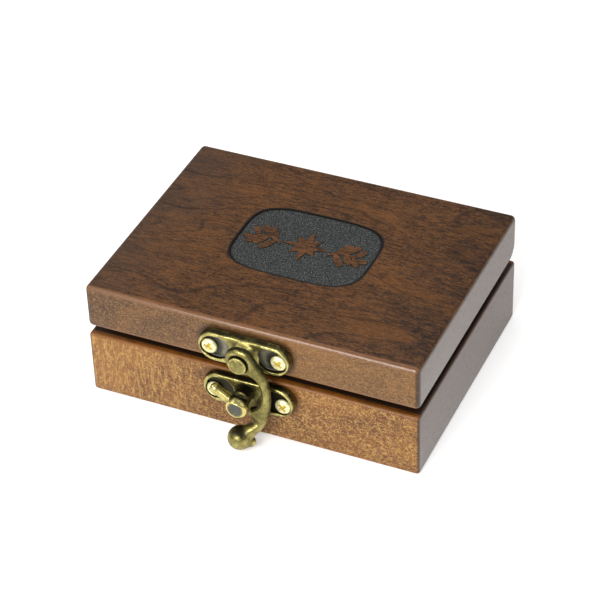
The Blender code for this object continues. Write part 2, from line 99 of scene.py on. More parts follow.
# ---------------------------------------------------------------- sizes of the looks
PLAQUE_X = 0.0
PLAQUE_Y = 1.6 * MM
PLAQUE_HALF = (20.3 * MM, 15.2 * MM)
PLAQUE_POWER = 3.85                    # of the superellipse that the plaque's outline is
PLAQUE_TURN = 0.52                     # about 2 / PLAQUE_POWER
ENGRAVING_DEPTH = 0.42 * MM
PEG_END = (-0.3 * MM, 14.9 * MM)       # x and z of the middle of the peg's end

CAST_VOXEL = 0.14 * MM
HOOK_VOXEL = 0.26 * MM
LEAF_VOXEL = 0.16 * MM
CAST_ROUNDS = 22
SHRINK, SWELL = 0.6, 0.35              # of one softening round
WEAR_ROUNDS = 6                        # that smooth the worn and painted shade values from vertex to vertex
WEAR_LEVEL, WEAR_PER_MM = 0.36, 3.6    # wear on a flat face, and for each mm it is proud
FLARE_RADII = (5.1 * MM, 4.1 * MM)     # of the hasp's boss, at these distances outward
FLARE_OUT = (2.3 * MM, 3.5 * MM)
FLARE_BORE = 1.6 * MM
DRAFT = 0.42 * MM
CROWN = 1.0 * MM                       # fall of the hook's front at its outline
CROWN_RUN = 1.9                        # mm from the outline to the flat of the front
RIVET_GROWTH = 0.18 * MM               # nearly fills the hook's bore
RIVET_SHANK = 1.3 * MM
PAN_RISE = 1.1 * MM
PAN_POINT = 1.8 * MM
LINING_VOXEL = 0.8 * MM
LINING_INSET = 0.25 * MM
LINING_LOFT = 0.7 * MM                 # room for the felt to crown
CLOTH_FRAMES = 20


# ---------------------------------------------------------------- node graphs
class Graph:
    """A short way to write a material's nodes. Sockets and numbers can both be inputs."""

    def __init__(self, name):
        self.material = bpy.data.materials.new(name)
        self.material.use_nodes = True
        self.tree = self.material.node_tree
        self.shader = self.tree.nodes["Principled BSDF"]
        place = self.tree.nodes.new("ShaderNodeTexCoord")
        self.normal = place.outputs["Normal"]
        self.mm = self.vector("MULTIPLY", place.outputs["Object"], (1000, 1000, 1000))

    def put(self, value, socket):
        if isinstance(value, bpy.types.NodeSocket):
            self.tree.links.new(value, socket)
        elif isinstance(value, (tuple, list)) and len(value) == 3 and socket.type == 'RGBA':
            socket.default_value = (*value, 1.0)
        else:
            socket.default_value = value

    def vector(self, operation, a, b):
        node = self.tree.nodes.new("ShaderNodeVectorMath")
        node.operation = operation
        self.put(a, node.inputs[0])
        self.put(b, node.inputs[1])
        return node.outputs[0]

    def math(self, operation, a, b=0.0):
        node = self.tree.nodes.new("ShaderNodeMath")
        node.operation = operation
        self.put(a, node.inputs[0])
        self.put(b, node.inputs[1])
        return node.outputs[0]

    def add(self, *terms):
        total = terms[0]
        for term in terms[1:]:
            total = self.math('ADD', total, term)
        return total

    def times(self, a, b):
        return self.math('MULTIPLY', a, b)

    def span(self, value, low, high, to_low=0.0, to_high=1.0, smooth=True):
        """Maps low..high to to_low..to_high, clamped."""
        node = self.tree.nodes.new("ShaderNodeMapRange")
        node.interpolation_type = 'SMOOTHSTEP' if smooth else 'LINEAR'
        self.put(value, node.inputs["Value"])
        for name, number in (("From Min", low), ("From Max", high),
                             ("To Min", to_low), ("To Max", to_high)):
            node.inputs[name].default_value = number
        return node.outputs["Result"]

    def noise(self, frequency, detail=2.0, roughness=0.5, distortion=0.0, shift=(0, 0, 0)):
        """Noise with this many periods per millimetre along X, Y and Z."""
        node = self.tree.nodes.new("ShaderNodeTexNoise")
        moved = self.vector("ADD", self.mm, shift)
        self.put(self.vector("MULTIPLY", moved, frequency), node.inputs["Vector"])
        node.inputs["Scale"].default_value = 1.0
        node.inputs["Detail"].default_value = detail
        node.inputs["Roughness"].default_value = roughness
        node.inputs["Distortion"].default_value = distortion
        return node.outputs["Fac"]

    def split(self, vector):
        node = self.tree.nodes.new("ShaderNodeSeparateXYZ")
        self.put(vector, node.inputs[0])
        return node.outputs[0], node.outputs[1], node.outputs[2]

    def mix(self, amount, a, b):
        node = self.tree.nodes.new("ShaderNodeMix")
        node.data_type = 'RGBA'
        node.clamp_factor = True
        self.put(amount, node.inputs[0])
        self.put(a, node.inputs[6])
        self.put(b, node.inputs[7])
        return node.outputs[2]

    def attribute(self, name):
        node = self.tree.nodes.new("ShaderNodeAttribute")
        node.attribute_name = name
        return node.outputs["Fac"]

    def bump(self, height, strength, distance=0.1 * MM):
        node = self.tree.nodes.new("ShaderNodeBump")
        node.inputs["Strength"].default_value = strength
        node.inputs["Distance"].default_value = distance
        self.put(height, node.inputs["Height"])
        for socket in ("Normal", "Coat Normal"):
            self.put(node.outputs["Normal"], self.shader.inputs[socket])

    def set(self, **values):
        for name, value in values.items():
            self.put(value, self.shader.inputs[name.replace("_", " ")])


def plaque_ring(g, x, y):
    """1 on the plaque's outline, less inside it and more outside."""
    along = g.math('ABSOLUTE', g.times(x, MM / PLAQUE_HALF[0]))
    away = g.math('ABSOLUTE', g.times(g.add(y, -PLAQUE_Y / MM), MM / PLAQUE_HALF[1]))
    return g.add(g.math('POWER', along, PLAQUE_POWER), g.math('POWER', away, PLAQUE_POWER))


def plate_distance(g, x, z, node):
    """Distance in mm from a latch plate's rounded outline."""
    low, high = corners(node)
    radius = (high.z - low.z) / 2 / MM
    along = g.math('ABSOLUTE', g.add(x, -(low.x + high.x) / 2 / MM))
    along = g.math('MAXIMUM', g.add(along, radius - (high.x - low.x) / 2 / MM), 0.0)
    up = g.add(z, -(low.z + high.z) / 2 / MM)
    both = g.add(g.times(along, along), g.times(up, up))
    return g.add(g.math('SQRT', both), -radius)


def wood(name, tones, fleck, is_lid, shift):
    """Stained wood with its grain along X: streaks on top, ray fleck in front, fine ends."""
    g = Graph(name)
    x, y, z = g.split(g.mm)
    nx, ny, nz = (g.math('ABSOLUTE', n) for n in g.split(g.normal))
    dark, light = tones["top"]
    rim = tones["rim"]
    # growth rings as contour lines of a slow noise that is stretched along the grain
    slow = g.noise((0.012, 0.034, 0.034), 1.5, 0.45, 0.35, shift)
    ring_line = g.span(g.math('SINE', g.times(slow, 70.0)), 0.93, 1.0)
    patches = g.noise((0.035, 0.075, 0.075), 3.0, 0.55, 0.6, shift)
    curl = g.noise((0.30, 0.10, 0.10), 2.0, 0.5, 0.5, shift)
    streaks = g.noise((0.36, 2.4, 2.4), 3.0, 0.65, 0.25, shift)
    fibres = g.noise((1.10, 4.2, 4.2), 2.0, 0.65, 0.2, shift)
    pore = g.span(g.noise((0.8, 4.6, 4.6), 1.0, 0.5, 0.0, shift), 0.60, 0.72)

    tone = g.add(g.times(streaks, 1.35), g.times(fibres, 1.30), g.times(patches, 0.30),
                 g.times(curl, 0.20))
    ends_dark = g.span(g.math('ABSOLUTE', g.add(x, g.times(patches, 14.0), -7.0)), 26.0, 50.0)
    top = g.mix(g.span(g.add(tone, g.times(ends_dark, -0.15)), 1.20, 1.92), dark, light)
    warm = g.span(g.noise((0.06, 0.14, 0.14), 3.0, 0.6, 0.8, (31, 7, 3)), 0.48, 0.72)
    top = g.mix(g.times(warm, 0.40), top, rim)
    hazy = g.times(g.span(g.add(x, g.times(patches, 30.0)), -5.0, -35.0), 0.40)
    top = g.mix(hazy, top, tuple(0.5 * c + 0.027 for c in light))
    top = g.mix(g.times(ring_line, 0.42), top, tuple(0.5 * c for c in dark))
    top = g.mix(g.times(pore, 0.55), top, tuple(0.4 * c for c in dark))
    if is_lid:
        # scorched round the plaque
        from_ring = g.math('ABSOLUTE', g.add(plaque_ring(g, x, y), -1.03))
        top = g.mix(g.span(from_ring, 0.12, 0.04), top, (0.006, 0.004, 0.003))
    else:
        # painted shade: the rim under the lid is darkened, leaving the warm brown of the top
        # within about 2 mm of its outer edge
        inside = g.math('MINIMUM', g.math('SUBTRACT', 51.6, g.math('ABSOLUTE', x)),
                        g.math('SUBTRACT', 38.1, g.math('ABSOLUTE', y)))
        under_lid_shade = g.span(g.add(inside, g.times(streaks, 0.8)), 1.7, 2.7)
        top = g.mix(under_lid_shade, top, (0.014, 0.007, 0.004))

    # ray fleck: thin bright flakes on darker wood, upright and wavy to the left
    left = g.span(g.add(x, g.times(patches, 16.0)), 0.0, -28.0)
    flakes = []
    for frequency in ((1.0 * fleck, 1.0 * fleck, 1.3 * fleck),
                      (1.05 * fleck, 0.75 * fleck, 0.20 * fleck)):
        web = g.noise(frequency, 1.0, 0.5, 0.9, shift)
        flakes.append(g.span(g.math('ABSOLUTE', g.add(web, -0.5)), 0.068, 0.0))
    upright = 0.0 if is_lid else 0.7
    flake = g.add(g.times(flakes[0], g.span(left, 0.0, 1.0, 1.0, 1.0 - 0.6 * upright, False)),
                  g.times(flakes[1], g.times(left, upright)))
    grit = g.noise((1.3, 1.3, 2.4), 2.0, 0.6, 0.4, shift)
    dark, light = tones["front"]
    shade = g.times(left, -0.30) if is_lid else g.times(left, 0.06)
    low, high = (0.47, 1.36) if is_lid else (0.60, 1.22)
    front = g.mix(g.span(g.add(g.times(grit, 1.1), g.times(patches, 0.7), shade), low, high),
                  dark, light)
    front = g.mix(g.times(g.span(patches, 0.44, 0.66), 0.25), front, rim)
    front = g.mix(g.times(flake, tones["fleck"]), front, tones["flake"])
    # darker in a halo round the latch plates
    halo = g.span(plate_distance(g, x, z, "hasp_plate" if is_lid else "strike_plate"), 1.8, 0.0)
    halo = g.times(halo, g.span(y, -37.0, -37.5, 0.0, 0.62, False))
    front = g.mix(halo, front, tuple(1.2 * c for c in tones["top"][0]))

    ends = g.noise((0.5, 0.35, 1.6), 3.0, 0.6, 0.2, shift)
    end = g.mix(g.span(g.add(ends, g.times(grit, 0.5)), 0.5, 0.95), *tones["end"])

    colour = g.mix(g.span(nx, 0.55, 0.85), front, end)
    colour = g.mix(g.span(nz, 0.45, 0.85), colour, top)
    # stain gathers in a dark line on the upright corners
    corner = g.span(g.times(nx, ny), 0.16, 0.42)
    colour = g.mix(g.times(corner, 0.6), colour, tuple(0.4 * c for c in tones["top"][0]))
    # and thins to a warm line along the long edges
    long_edge = g.span(g.times(ny, nz), 0.05, 0.35)
    colour = g.mix(g.times(long_edge, 0.6), colour, rim)
    side_coat = g.times(g.span(nx, 0.6, 0.95, 0.06, 0.65), g.span(y, 40.0, -36.0, 0.35, 1.0))
    g.set(Base_Color=colour, Roughness=g.span(g.add(streaks, grit), 0.7, 1.3, 0.34, 0.48),
          Coat_Weight=g.math('MAXIMUM', side_coat,
                             g.times(long_edge, 0.75 if is_lid else 0.0)))
    g.shader.inputs["Specular IOR Level"].default_value = 0.28
    g.shader.inputs["Coat Roughness"].default_value = 0.24
    height = g.add(g.times(streaks, 0.6), g.times(pore, -0.8), g.times(grit, 0.9))
    g.bump(g.times(height, g.span(long_edge, 0.0, 1.0, 1.0, 2.6)), 0.13)
    return g.material


def char():
    """The burnt, granular bottom and walls of the engraving."""
    g = Graph("engraved_char")
    x, y, z = g.split(g.mm)
    grain = g.noise((2.1, 2.1, 2.1), 3.0, 0.7)
    spark = g.span(g.noise((3.8, 3.8, 3.8), 1.0, 0.5, 0.0, (9, 4, 0)), 0.61, 0.72)
    colour = g.mix(g.span(grain, 0.36, 0.70), (0.008, 0.008, 0.008), (0.050, 0.054, 0.053))
    colour = g.mix(g.times(spark, 0.75), colour, (0.30, 0.31, 0.31))
    walls = g.span(z, (LID_TOP - 0.22 * MM) / MM, (LID_TOP - 0.14 * MM) / MM)
    edge = g.span(plaque_ring(g, x, y), 0.86, 0.97)
    colour = g.mix(g.math('MAXIMUM', walls, edge), colour, (0.005, 0.004, 0.003))
    g.set(Base_Color=colour, Roughness=g.span(grain, 0.3, 0.7, 0.75, 0.50))
    g.shader.inputs["Specular IOR Level"].default_value = 0.30
    g.bump(grain, 0.5, 0.2 * MM)
    return g.material


def antique_brass():
    """Black-brown patina worn through to olive-yellow brass where it is proud; the same
    attribute also carries painted shade and painted highlights.
    """
    g = Graph("antique_brass")
    wear_and_painted_light = g.attribute("wear_and_painted_light")
    grey = g.attribute("bare")
    mottle = g.noise((0.45, 0.45, 0.45), 3.0, 0.6, 0.4)
    fine = g.noise((2.6, 2.6, 2.6), 3.0, 0.65)
    rubbed_and_shaded = g.add(wear_and_painted_light, g.times(g.add(mottle, -0.5), 1.0), g.times(g.add(fine, -0.5), 0.7))
    colour = g.mix(g.span(rubbed_and_shaded, -0.05, 0.45), (0.024, 0.022, 0.010), (0.215, 0.183, 0.058))
    colour = g.mix(g.span(rubbed_and_shaded, 0.35, 1.0), colour, (0.62, 0.545, 0.20))
    speck = g.span(g.noise((3.8, 3.8, 3.8), 1.0), 0.60, 0.70)
    colour = g.mix(g.times(speck, 0.5), colour, (0.06, 0.055, 0.025))
    colour = g.mix(g.times(grey, 0.85), colour, (0.145, 0.145, 0.130))
    g.set(Base_Color=colour, Roughness=g.span(g.add(rubbed_and_shaded, g.times(fine, 0.4)), 0.0, 1.2,
                                              0.44, 0.25),
          Metallic=g.span(grey, 0.0, 0.75, 0.95, 0.35))
    g.bump(g.add(fine, g.times(mottle, 0.8)), 0.14, 0.06 * MM)
    return g.material


def pale_brass():
    g = Graph("pale_brass")
    fine = g.noise((0.9, 0.9, 0.9), 2.0, 0.5)
    deep = g.attribute("recess")
    colour = g.mix(g.span(fine, 0.3, 0.7), (0.76, 0.69, 0.37), (0.90, 0.84, 0.50))
    # painted shade: darker, deeper gold inside the cross recess
    colour = g.mix(deep, colour, (0.60, 0.44, 0.05))
    g.set(Base_Color=colour, Roughness=g.span(fine, 0.3, 0.7, 0.30, 0.40))
    g.shader.inputs["Metallic"].default_value = 0.55
    g.bump(fine, 0.05, 0.05 * MM)
    return g.material


def felt():
    g = Graph("lining_felt")
    tuft = g.noise((1.6, 1.6, 1.6), 4.0, 0.7, 0.8)
    hair = g.noise((5.5, 2.0, 2.0), 2.0, 0.6, 1.2)
    colour = g.mix(g.span(g.add(tuft, hair), 0.7, 1.35), (0.010, 0.011, 0.011),
                   (0.050, 0.052, 0.050))
    g.set(Base_Color=colour)
    g.shader.inputs["Roughness"].default_value = 0.95
    g.shader.inputs["Specular IOR Level"].default_value = 0.15
    g.shader.inputs["Sheen Weight"].default_value = 0.35
    g.shader.inputs["Sheen Roughness"].default_value = 0.5
    g.bump(g.add(tuft, g.times(hair, 0.6)), 0.8, 0.25 * MM)
    return g.material


def rubber():
    g = Graph("bumper_rubber")
    fine = g.noise((2.0, 2.0, 2.0), 3.0, 0.6)
    g.set(Base_Color=g.mix(fine, (0.030, 0.024, 0.020), (0.065, 0.052, 0.044)),
          Roughness=g.span(fine, 0.3, 0.7, 0.55, 0.75))
    g.bump(fine, 0.2, 0.08 * MM)
    return g.material


LID_WOOD = wood("lid_stained_wood", {
    "top": ((0.010, 0.004, 0.002), (0.148, 0.060, 0.018)), "rim": (0.170, 0.062, 0.012),
    "front": ((0.056, 0.024, 0.008), (0.200, 0.094, 0.027)), "flake": (0.362, 0.200, 0.068),
    "fleck": 0.45, "end": ((0.056, 0.034, 0.021), (0.106, 0.064, 0.040))},
    1.15, True, (0.0, 0.0, 0.0))
BASE_WOOD = wood("base_stained_wood", {
    "top": ((0.080, 0.027, 0.005), (0.240, 0.084, 0.012)), "rim": (0.190, 0.068, 0.010),
    "front": ((0.084, 0.031, 0.009), (0.217, 0.094, 0.023)), "flake": (0.428, 0.240, 0.070),
    "fleck": 0.80, "end": ((0.046, 0.024, 0.014), (0.090, 0.047, 0.027))},
    0.72, False, (140.0, 60.0, 25.0))
CHAR = char()
BRASS = antique_brass()
PALE = pale_brass()
FELT = felt()
RUBBER = rubber()


# ---------------------------------------------------------------- mesh helpers
def link(name, mesh, *materials):
    made = bpy.data.objects.new(name, mesh)
    bpy.context.scene.collection.objects.link(made)
    for each in materials:
        mesh.materials.append(each)
    return made


def from_bmesh(name, bm, *materials):
    mesh = bpy.data.meshes.new(name)
    bmesh.ops.recalc_face_normals(bm, faces=bm.faces)
    bm.to_mesh(mesh)
    bm.free()
    return link(name, mesh, *materials)


def block(low, high):
    bm = bmesh.new()
    bmesh.ops.create_cube(bm, size=1.0)
    low, high = Vector(low), Vector(high)
    bmesh.ops.scale(bm, vec=high - low, verts=bm.verts)
    bmesh.ops.translate(bm, vec=(high + low) / 2, verts=bm.verts)
    return bm


def round_edges(bm, chosen, width, segments):
    edges = [edge for edge in bm.edges if chosen(edge)]
    bmesh.ops.bevel(bm, geom=edges, offset=width, segments=segments, profile=0.5,
                    affect='EDGES', clamp_overlap=True)


def rod(radius, start, end, sides, end_radius=None):
    start, end = Vector(start), Vector(end)
    bm = bmesh.new()
    bmesh.ops.create_cone(bm, cap_ends=True, segments=sides, radius1=radius,
                          radius2=radius if end_radius is None else end_radius,
                          depth=(end - start).length)
    turn = Vector((0, 0, 1)).rotation_difference(end - start).to_matrix().to_4x4()
    bmesh.ops.transform(bm, matrix=Matrix.Translation((start + end) / 2) @ turn,
                        verts=bm.verts)
    return bm


def prism(points, low, high):
    """Upright prism on a closed outline in x and y."""
    bm = bmesh.new()
    floor = [bm.verts.new((x, y, low)) for x, y in points]
    roof = [bm.verts.new((x, y, high)) for x, y in points]
    count = len(points)
    for i in range(count):
        j = (i + 1) % count
        bm.faces.new((floor[i], floor[j], roof[j], roof[i]))
    bm.faces.new(list(reversed(floor)))
    bm.faces.new(roof)
    return bm


def apply_modifiers(made):
    bpy.context.view_layer.update()
    evaluated = made.evaluated_get(bpy.context.evaluated_depsgraph_get())
    mesh = bpy.data.meshes.new_from_object(evaluated)
    old = made.data
    made.modifiers.clear()
    made.data = mesh
    bpy.data.meshes.remove(old)


def combine(target, cutters, operation='DIFFERENCE'):
    """Booleans these objects with the target one after another, then removes them."""
    for cutter in cutters:
        change = target.modifiers.new("cut", 'BOOLEAN')
        change.operation = operation
        change.solver = 'EXACT'
        change.material_mode = 'TRANSFER'
        change.object = cutter
    apply_modifiers(target)
    for cutter in cutters:
        bpy.data.objects.remove(cutter, do_unlink=True)


def remesh(made, voxel):
    change = made.modifiers.new("remesh", 'REMESH')
    change.mode = 'VOXEL'
    change.voxel_size = voxel
    apply_modifiers(made)


def recolour(made, finish):
    made.data.materials.clear()
    made.data.materials.append(finish)


def paint(made, name, value_at):
    """Stores a number at every vertex, for the material to read."""
    layer = made.data.attributes.new(name, 'FLOAT', 'POINT')
    for i, vertex in enumerate(made.data.vertices):
        layer.data[i].value = value_at(vertex.co)


def smooth_shade(made, degrees=35):
    made.data.shade_smooth()
    made.data.set_sharp_from_angle(angle=math.radians(degrees))


def place(made, body, slot, *replaced):
    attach(made, body)
    if replaced:
        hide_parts(*replaced)


# ---------------------------------------------------------------- the two boards
def is_upright(edge):
    a, b = edge.verts
    return abs(a.co.z - b.co.z) > 0.5 * edge.calc_length()


def well(low, high):
    """Cutter for the routed space, with its rounded upright corners."""
    bm = block((-CAVITY_X, -CAVITY_Y, low), (CAVITY_X, CAVITY_Y, high))
    round_edges(bm, is_upright, CAVITY_CORNER, 16)
    return bm


def mortise(leaf, side):
    low, high = corners(leaf)
    if side < 0:
        return block((low.x - GAP, low.y - GAP, low.z - GAP),
                     (high.x + GAP, BACK + MM, BASE_HIGH.z + MM))
    return block((low.x - GAP, low.y - GAP, LID_LOW.z - MM),
                 (high.x + GAP, BACK + MM, high.z + GAP))


def plaque_outline(grow=0.0):
    """A cushion-shaped field: a superellipse."""
    half_x, half_y = PLAQUE_HALF[0] + grow, PLAQUE_HALF[1] + grow
    points = []
    for i in range(96):
        angle = 2 * math.pi * i / 96
        c, s = math.cos(angle), math.sin(angle)
        points.append((PLAQUE_X + half_x * math.copysign(abs(c) ** PLAQUE_TURN, c),
                       PLAQUE_Y + half_y * math.copysign(abs(s) ** PLAQUE_TURN, s)))
    return points


def leaf_outline(x, y, length, width, angle):
    points = []
    for i in range(24):
        t = 2 * math.pi * i / 24
        along = 0.5 * length * (1 - math.cos(t))
        across = 0.5 * width * math.sin(t) * (0.55 + 0.45 * math.sin(t / 2) ** 2)
        points.append((x + along * math.cos(angle) - across * math.sin(angle),
                       y + along * math.sin(angle) + across * math.cos(angle)))
    return points


def ornament():
    """Outlines of a plain eight-point star between two sprigs of leaves, in mm."""
    shapes = []
    star = []
    for i in range(16):
        angle = math.pi * i / 8 + math.pi / 2
        reach = (7.4 if i % 4 == 0 else 5.4) if i % 2 == 0 else 2.9
        star.append((reach * math.cos(angle), reach * math.sin(angle)))
    shapes.append(star)
    for side in (-1, 1):
        def on_stem(t):
            return side * (7.4 + 9.0 * t), -1.2 + 2.0 * math.sin(t * math.pi)

        middle_line = [on_stem(i / 12) for i in range(13)]
        stem = [(x, y - 0.45) for x, y in middle_line]
        shapes.append(stem + [(x, y + 0.9) for x, y in reversed(stem)])
        for k in range(3):
            x, y = on_stem((k + 0.6) / 3.3)
            for lean in (-1, 1):
                heading = lean * math.radians(56)
                angle = heading if side > 0 else math.pi - heading
                shapes.append(leaf_outline(x, y, 6.2 - 0.8 * k, 3.0 - 0.2 * k, angle))
        shapes.append(leaf_outline(side * 15.4, -1.0, 3.6, 2.4, 0.0 if side > 0 else math.pi))
    return shapes


def make_lid():
    bm = block(LID_LOW, LID_HIGH)

    def is_heel(edge):
        return all(v.co.y > 0 and v.co.z < LID_LOW.z + GAP for v in edge.verts)

    def is_sharp(edge):
        return edge.calc_face_angle(0.0) > math.radians(60)

    round_edges(bm, is_heel, LID_HEEL, 14)
    round_edges(bm, is_sharp, LID_EDGE, 8)
    lid = from_bmesh("lid_stained_board", bm, LID_WOOD)
    field = from_bmesh("cut_field", prism(plaque_outline(), LID_TOP - ENGRAVING_DEPTH,
                                          LID_TOP + MM), CHAR)
    islands = []
    for number, shape in enumerate(ornament()):
        points = [(PLAQUE_X + x * MM, PLAQUE_Y + y * MM) for x, y in shape]
        islands.append(from_bmesh(f"island_{number}", prism(points, LID_TOP - MM,
                                                            LID_TOP + 2 * MM), CHAR))
    combine(field, islands)
    cutters = [from_bmesh("cut_recess", well(LID_LOW.z - MM, RECESS_CEILING), LID_WOOD)]
    for side in ("left", "right"):
        cutters.append(from_bmesh("cut_" + side, mortise(f"hinge_{side}_lid_leaf", 1),
                                  LID_WOOD))
    combine(lid, cutters + [field])
    smooth_shade(lid)
    place(lid, "lid", "stained_wood", "lid_board")


def make_field():
    """The granular bottom of the engraving, as a closed slab of rough grains."""
    pitch = 0.30 * MM
    outline = plaque_outline(0.25 * MM)
    xs = [p[0] for p in outline]
    ys = [p[1] for p in outline]
    columns = int((max(xs) - min(xs)) / pitch)
    rows = int((max(ys) - min(ys)) / pitch)
    bm = bmesh.new()
    grid = {}

    def inside(x, y):
        u = abs(x - PLAQUE_X) / (PLAQUE_HALF[0] + 0.2 * MM)
        v = abs(y - PLAQUE_Y) / (PLAQUE_HALF[1] + 0.2 * MM)
        return u ** PLAQUE_POWER + v ** PLAQUE_POWER <= 1.0

    for i in range(columns + 1):
        for j in range(rows + 1):
            x = min(xs) + i * pitch
            y = min(ys) + j * pitch
            if inside(x, y):
                rough = noise.noise(Vector((x / MM * 1.7, y / MM * 1.7, 3.1)))
                rough += 0.6 * noise.noise(Vector((x / MM * 3.3, y / MM * 3.3, 8.4)))
                z = LID_TOP - ENGRAVING_DEPTH + (0.13 + 0.09 * rough) * MM
                grid[i, j] = bm.verts.new((x, y, z))
    for i in range(columns):
        for j in range(rows):
            keys = ((i, j), (i + 1, j), (i + 1, j + 1), (i, j + 1))
            if all(k in grid for k in keys):
                bm.faces.new([grid[k] for k in keys])
    bmesh.ops.delete(bm, geom=[v for v in bm.verts if not v.link_faces], context='VERTS')
    edge = [e for e in bm.edges if e.is_boundary]
    wall = bmesh.ops.extrude_edge_only(bm, edges=edge)
    for v in (g for g in wall["geom"] if isinstance(g, bmesh.types.BMVert)):
        v.co.z = LID_TOP - ENGRAVING_DEPTH - 0.1 * MM
    bmesh.ops.contextual_create(bm, geom=[e for e in bm.edges if e.is_boundary])
    field = from_bmesh("engraved_field", bm, CHAR)
    field.data.shade_smooth()
    place(field, "lid", "stained_wood")


def make_base():
    bm = block(BASE_LOW, BASE_HIGH)
    round_edges(bm, lambda edge: True, BASE_EDGE, 5)
    base = from_bmesh("base_stained_block", bm, BASE_WOOD)
    cutters = [from_bmesh("cut_cavity", well(CAVITY_FLOOR, BASE_HIGH.z + MM), BASE_WOOD)]
    for side in ("left", "right"):
        cutters.append(from_bmesh("cut_" + side, mortise(f"hinge_{side}_base_leaf", -1),
                                  BASE_WOOD))
    combine(base, cutters)
    smooth_shade(base)
    place(base, "base", "stained_wood", "base_block")


# ---------------------------------------------------------------- castings
def neighbour_average(points, edges, count):
    total = np.zeros_like(points)
    np.add.at(total, edges[:, 0], points[edges[:, 1]])
    np.add.at(total, edges[:, 1], points[edges[:, 0]])
    return total / count[:, None]


def relax(points, edges, count, amount, rounds):
    """Pulls points towards their neighbours, by this amount at a time."""
    for i in range(rounds):
        points += amount * (neighbour_average(points, edges, count) - points)
    return points


def read_mesh(mesh):
    points = np.empty(len(mesh.vertices) * 3)
    mesh.vertices.foreach_get("co", points)
    edges = np.empty(len(mesh.edges) * 2, int)
    mesh.edges.foreach_get("vertices", edges)
    edges = edges.reshape(-1, 2)
    count = np.bincount(edges.ravel(), minlength=len(mesh.vertices)).clip(1)
    return points.reshape(-1, 3), edges, count


def normals_of(mesh):
    normals = np.empty(len(mesh.vertices) * 3)
    mesh.vertices.foreach_get("normal", normals)
    return normals.reshape(-1, 3)


def cast(node, body, name, voxel, rounds, shaded=None, extras=(), finer=0, reshape=None):
    """A casting: the CAD solid with any extras, remeshed and softened, its proud parts worn,
    with the painted shade and highlights that `shaded` adds.
    """
    made = link(name, NODES[node].data.copy())
    recolour(made, BRASS)
    combine(made, list(extras), 'UNION')
    remesh(made, voxel)
    mesh = made.data
    points, edges, count = read_mesh(mesh)
    for i in range(rounds):
        # a shrinking step, then a smaller swelling step, keeps the size
        points += SHRINK * (neighbour_average(points, edges, count) - points)
        points -= SWELL * (neighbour_average(points, edges, count) - points)
    if reshape:
        mesh.vertices.foreach_set("co", points.ravel())
        mesh.update()
        points = reshape(points, normals_of(mesh), edges, count)
    mesh.vertices.foreach_set("co", points.ravel())
    mesh.update()
    if finer:
        made.modifiers.new("finer", 'SUBSURF').levels = finer
        apply_modifiers(made)
        mesh = made.data
        points, edges, count = read_mesh(mesh)
    flat = relax(points.copy(), edges, count, 0.6, 40)
    normals = normals_of(mesh)
    rise = ((points - flat) * normals).sum(axis=1) / MM
    wear_and_painted_light = WEAR_LEVEL + rise * WEAR_PER_MM
    bare = np.zeros(len(wear_and_painted_light))
    if shaded:
        wear_and_painted_light, bare = shaded(points, normals, wear_and_painted_light)
    for i in range(WEAR_ROUNDS):
        wear_and_painted_light = neighbour_average(wear_and_painted_light[:, None], edges, count)[:, 0]
    for attribute, values in (("wear_and_painted_light", wear_and_painted_light), ("bare", bare)):
        layer = mesh.attributes.new(attribute, 'FLOAT', 'POINT')
        layer.data.foreach_set("value", np.clip(values, -0.6, 1.2))
    mesh.shade_smooth()
    place(made, body, "antique_brass", node)


def ramp(values, low, high):
    return np.clip((values - low) / (high - low), 0.0, 1.0)


def outward(points):
    """Distances in mm in front of the boards."""
    return (FRONT - points[:, 1]) / MM


def reach_from(points, centre):
    """Distances in mm from an axis through (x, z) that runs front to back."""
    return np.hypot(points[:, 0] - centre[0], points[:, 2] - centre[1]) / MM


def half_round(points, normals, edges, count):
    """Rounds the front of the hook's head and arm down towards their outline."""
    out = outward(points)
    flat = points * (1, 0, 1) / MM
    wall = np.nonzero((np.abs(normals[:, 1]) < 0.45) & (out > 4.4) & (out < 6.3)
                      & (reach_from(points, PIVOT) > 3.4))[0]
    tree = KDTree(len(wall))
    for i in wall:
        tree.insert(flat[i], i)
    tree.balance()
    inset = np.array([tree.find(point)[2] for point in flat])
    fall = 1.0 - np.sqrt(1.0 - (1.0 - ramp(inset, 0.0, CROWN_RUN)) ** 2)
    above_knob = ramp(points[:, 2] / MM, 9.0, 12.0)
    points[:, 1] += CROWN * fall * ramp(out, 4.6, 6.4) * above_knob
    return points


def draft(points, node):
    """Slopes a plate's side walls in towards its front, as a casting leaves its mould."""
    low, high = corners(node)
    half = (high.z - low.z) / 2
    straight = (high.x - low.x) / 2 - half
    x = points[:, 0] - (low.x + high.x) / 2
    z = points[:, 2] - (low.z + high.z) / 2
    x = np.sign(x) * np.maximum(np.abs(x) - straight, 0.0)
    reach = np.hypot(x, z).clip(1e-6)
    out = outward(points)
    shift = DRAFT * ramp(out, 0.5, 2.5) * ramp(out, 3.4, 2.7)
    shift = shift * ramp((half - reach) / MM, 1.6, 0.0) / reach
    points[:, 0] -= x * shift
    points[:, 2] -= z * shift


def melt_neck(points, normals, edges, count):
    """Runs the top of the peg's neck smoothly into its head."""
    draft(points, "strike_plate")
    out = outward(points)
    beside = ramp(np.abs(points[:, 0] - PEG_END[0]) / MM, 4.2, 3.4)
    weight = ramp(out, 5.2, 6.0) * ramp(out, 9.0, 8.4) * ramp(points[:, 2] / MM, 15.5, 16.5)
    return relax(points, edges, count, 0.6 * (weight * beside)[:, None], 60)


def melt_flare(points, normals, edges, count):
    """Runs the plate smoothly up to the hook's boss."""
    draft(points, "hasp_plate")
    reach = reach_from(points, PIVOT)
    weight = ramp(reach, 3.6, 4.2) * ramp(reach, 7.4, 6.0) * ramp(outward(points), 1.9, 2.3)
    return relax(points, edges, count, 0.6 * weight[:, None], 80)


